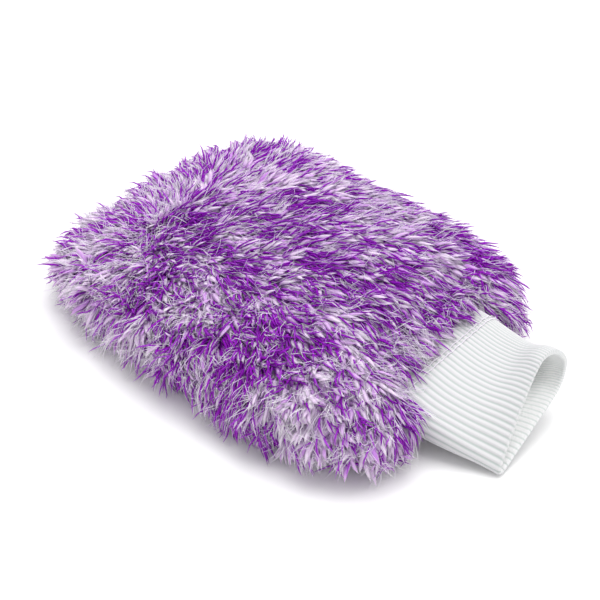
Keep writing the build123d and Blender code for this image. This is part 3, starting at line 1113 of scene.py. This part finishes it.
# %% The tree that grows them
def pile_tree():
    """The node tree, with an input for every size that a kind of yarn or a zone may change."""
    sizes = ("Strands", "Tufts", "Length", "Girth", "Rise", "Gather", "Scatter", "Curl", "Sag")
    g, wish = new_tree("grow_pile", (
        ("Geometry", "Geometry"), ("Strand", "Object"), ("Finish", "Material"),
        *((size, "Float") for size in sizes), ("Seed", "Int"),
    ))

    def stored(name, data_type="FLOAT"):
        return g.add("GeometryNodeInputNamedAttribute", {"Name": name}, "Attribute", data_type=data_type)

    def arrow(name):
        return stored(name, "FLOAT_VECTOR")

    def chance(low, high, seed, data_type="FLOAT"):
        sockets = {"Min": low, "Max": high, "Seed": wish("Seed") + seed}
        return g.add("FunctionNodeRandomValue", sockets, "Value", data_type=data_type)

    def keep(points, name, value, data_type="FLOAT", domain="POINT"):
        sockets = {"Geometry": points, "Name": name, "Value": value}
        kinds = {"data_type": data_type, "domain": domain}
        return g.add("GeometryNodeStoreNamedAttribute", sockets, "Geometry", **kinds)

    def sprinkle(density, seed, pick):
        sockets = {"Mesh": wish("Geometry"), "Density": density, "Seed": seed}
        return g.add("GeometryNodeDistributePointsOnFaces", sockets, pick)

    tufts = sprinkle(wish("Tufts"), 5, "Points")
    scatter = sprinkle(wish("Strands") * stored("chosen"), wish("Seed"), False)
    points = Value(g, scatter.outputs["Points"])
    normal = Value(g, scatter.outputs["Normal"])
    place = g.add("GeometryNodeInputPosition")
    nearest = g.add("GeometryNodeSampleNearest", {"Geometry": tufts, "Sample Position": place})

    def of_tuft(value):
        sockets = {"Geometry": tufts, "Value": value, "Index": nearest}
        return g.add("GeometryNodeSampleIndex", sockets, "Value", data_type="FLOAT_VECTOR")

    minus, plus = (-1.0, -1.0, -1.0), (1.0, 1.0, 1.0)
    tuft_whim = g.add(
        "FunctionNodeRandomValue", {"Min": minus, "Max": plus, "Seed": 9}, "Value",
        data_type="FLOAT_VECTOR",
    )
    for name, value in (
        ("root", place), ("stand", normal), ("gap", of_tuft(place) - place),
        ("tuft_whim", of_tuft(tuft_whim)), ("whim", chance(minus, plus, 21, "FLOAT_VECTOR")),
    ):
        points = keep(points, name, value, "FLOAT_VECTOR")
    points = keep(points, "growth", chance(0.65, 1.25, 22))
    points = keep(points, "lot", g.maths("FLOOR", chance(0.0, dye_lots - 0.01, 23)))
    template = g.add("GeometryNodeObjectInfo", {"Object": wish("Strand")}, "Geometry")
    copies = g.add("GeometryNodeInstanceOnPoints", {"Points": points, "Instance": template})
    pile = g.add("GeometryNodeRealizeInstances", {"Geometry": copies})

    spot = arrow("spot")
    side_girth = g.part(spot, "X")
    other_girth = g.part(spot, "Y")
    along = g.part(spot, "Z")
    stand = arrow("stand")
    upright = stored("upright")
    whim = arrow("whim")
    tuft_whim = arrow("tuft_whim")
    growth = stored("growth")
    scatter_here = wish("Scatter") * stored("tangle")
    lay = arrow("lay") + tuft_whim * scatter_here + whim * (scatter_here * 0.7)
    lay = g.maths("NORMALIZE", lay)
    whim_up = g.part(whim, "Z")
    reach = wish("Length") * growth
    rise = (upright * 1.3 + 0.35 + whim_up * 0.12) * wish("Rise")
    height = along * rise - along * along * rise * 0.55
    ahead = along * 0.25 + along * along * 0.65
    sideways = g.maths("NORMALIZE", g.maths("CROSS_PRODUCT", stand, lay))
    whim_side = g.part(whim, "X")
    bend = g.maths("SINE", along * 4.2 + whim_side * 3.0) * along * wish("Curl") * reach
    spine = arrow("root") + stand * (height * reach) + lay * (ahead * reach)
    spine = spine + sideways * (bend * whim_side)
    spine = spine + arrow("gap") * (along * wish("Gather"))
    spine = spine + g.add("ShaderNodeCombineXYZ", {2: along * along * reach * wish("Sag") * -1.0})
    lowest = wish("Girth") + under_low[2] + 0.0002
    spine_z = g.maths("MAXIMUM", g.part(spine, "Z"), lowest)
    spine = g.add("ShaderNodeCombineXYZ", {0: g.part(spine, "X"), 1: g.part(spine, "Y"), 2: spine_z})
    forward = g.maths("NORMALIZE", stand * (rise - along * rise * 1.1) + lay * (along * 1.3 + 0.25))
    upwards = g.maths("NORMALIZE", g.maths("CROSS_PRODUCT", forward, sideways))
    thickness = wish("Girth") * (growth * 0.5 + 0.5)
    skin = spine + sideways * (side_girth * thickness) + upwards * (other_girth * thickness)
    pile = g.add("GeometryNodeSetPosition", {"Geometry": pile, "Position": skin})
    lot_shift = g.add("ShaderNodeCombineXYZ", {0: stored("lot") * (1 / dye_lots)})
    dyed = arrow("OFBake") + lot_shift
    pile = keep(pile, "OFBake", dyed, "FLOAT2", "CORNER")
    pile = g.add("GeometryNodeSetShadeSmooth", {"Geometry": pile})
    pile = g.add("GeometryNodeSetMaterial", {"Geometry": pile, "Material": wish("Finish")})
    return end_tree(g, pile)


grow_pile = pile_tree()
kept_fields = {
    "position", "OFBake", ".edge_verts", ".corner_vert", ".corner_edge", "sharp_face", "material_index"
}


def grow(name, node, chosen, **wishes):
    """Runs the tree on the rooting surface where chosen is above nought, and keeps a plain mesh."""
    mesh = roots.data
    if "chosen" in mesh.attributes:
        mesh.attributes.remove(mesh.attributes["chosen"])
    store(mesh, "chosen", chosen)
    pile = run_tree(roots, grow_pile, wishes)
    for field in [f.name for f in pile.attributes if f.name not in kept_fields]:
        pile.attributes.remove(pile.attributes[field])
    pile.name = name
    made = bpy.data.objects.new(name, pile)
    bpy.context.collection.objects.link(made)
    stand_for(made, node)
    triangles = sum(len(p.vertices) - 2 for p in pile.polygons)
    print(f"{name}: {triangles} triangles, {[round(v, 3) for v in made.dimensions]}")


# %% [markdown]
# ## Three yarns in six zones
# Pale locks make the body of the pile, fine purple strands lie among them, and thin white wisps
# stray over both. Each kind is grown zone by zone, which keeps every mesh small enough to handle.

# %% Zones of the pile
def field(name, size=1):
    """A stored field of the rooting surface as an array."""
    values = np.empty(len(roots.data.vertices) * size)
    roots.data.attributes[name].data.foreach_get("vector" if size == 3 else "value", values)
    return values.reshape(-1, size) if size > 1 else values


shares = field("shares", 3)
clear, purple = field("clear"), field("purple")
loose, fringe = field("tangle") - 1, field("fringe")
heights = shares[:, 2] * (crown + belly)
upper = heights > belly
along = shares[:, 1]
zones = {
    "top_{}_fingers": ("top_plush_panel", upper & (along > 0.30), 1.0),
    "top_{}_palm": ("top_plush_panel", upper & (along <= 0.30) & (along > -0.25), 1.0),
    "top_{}_wrist": ("top_plush_panel", upper & (along <= -0.25), 1.0),
    "side_{}_fingers": ("bottom_plush_panel", ~upper & (heights > 0.008) & (along > 0.2), 1.0),
    "side_{}_wrist": ("bottom_plush_panel", ~upper & (heights > 0.008) & (along <= 0.2), 1.0),
    "under_{}": ("bottom_plush_panel", ~upper & (heights <= 0.008), 0.3),
}
yarns = {
    "tufts": dict(
        Strand=lobe, Finish=lilac_yarn, Strands=0.26e6, Length=0.0120, Girth=0.00175,
        Rise=0.60, Gather=0.50, Scatter=0.32, Curl=0.16, Seed=10,
    ),
    "purple": dict(
        Strand=tick, Finish=purple_yarn, Strands=0.31e6, Length=0.0135, Girth=0.00060,
        Rise=0.95, Gather=0.50, Scatter=0.34, Curl=0.30, Seed=40,
    ),
    "white": dict(
        Strand=wisp, Finish=white_yarn, Strands=0.26e6, Length=0.0140, Girth=0.00018,
        Rise=0.95, Gather=0.30, Scatter=0.60, Curl=0.45, Seed=70,
    ),
}
# purple strands crowd and pale locks thin where the purple field is high, so in the valleys too: painted
# shade
crowding = {
    "tufts": 1.1 - 0.45 * purple,
    "purple": 0.14 + 1.5 * purple ** 1.4,
    "white": 0.7 + 0.8 * loose + 2.5 * fringe,
}
side_slimness = 0.85  # the locks at the sides are this much thinner than those on top
for number, (name, (node, zone, share)) in enumerate(zones.items()):
    ground = zone * clear * share
    for kind, yarn in yarns.items():
        wishes = dict(yarn, Tufts=2.6e4, Sag=0.12, Seed=yarn["Seed"] + number)
        if kind == "tufts" and not name.startswith("top"):
            wishes["Girth"] *= side_slimness
        grow(name.format(kind), node, ground * crowding[kind], **wishes)

# %% Helpers taken away
for spare in (roots, lobe, tick, wisp, overlock, tack, cutter):
    bpy.data.objects.remove(spare)
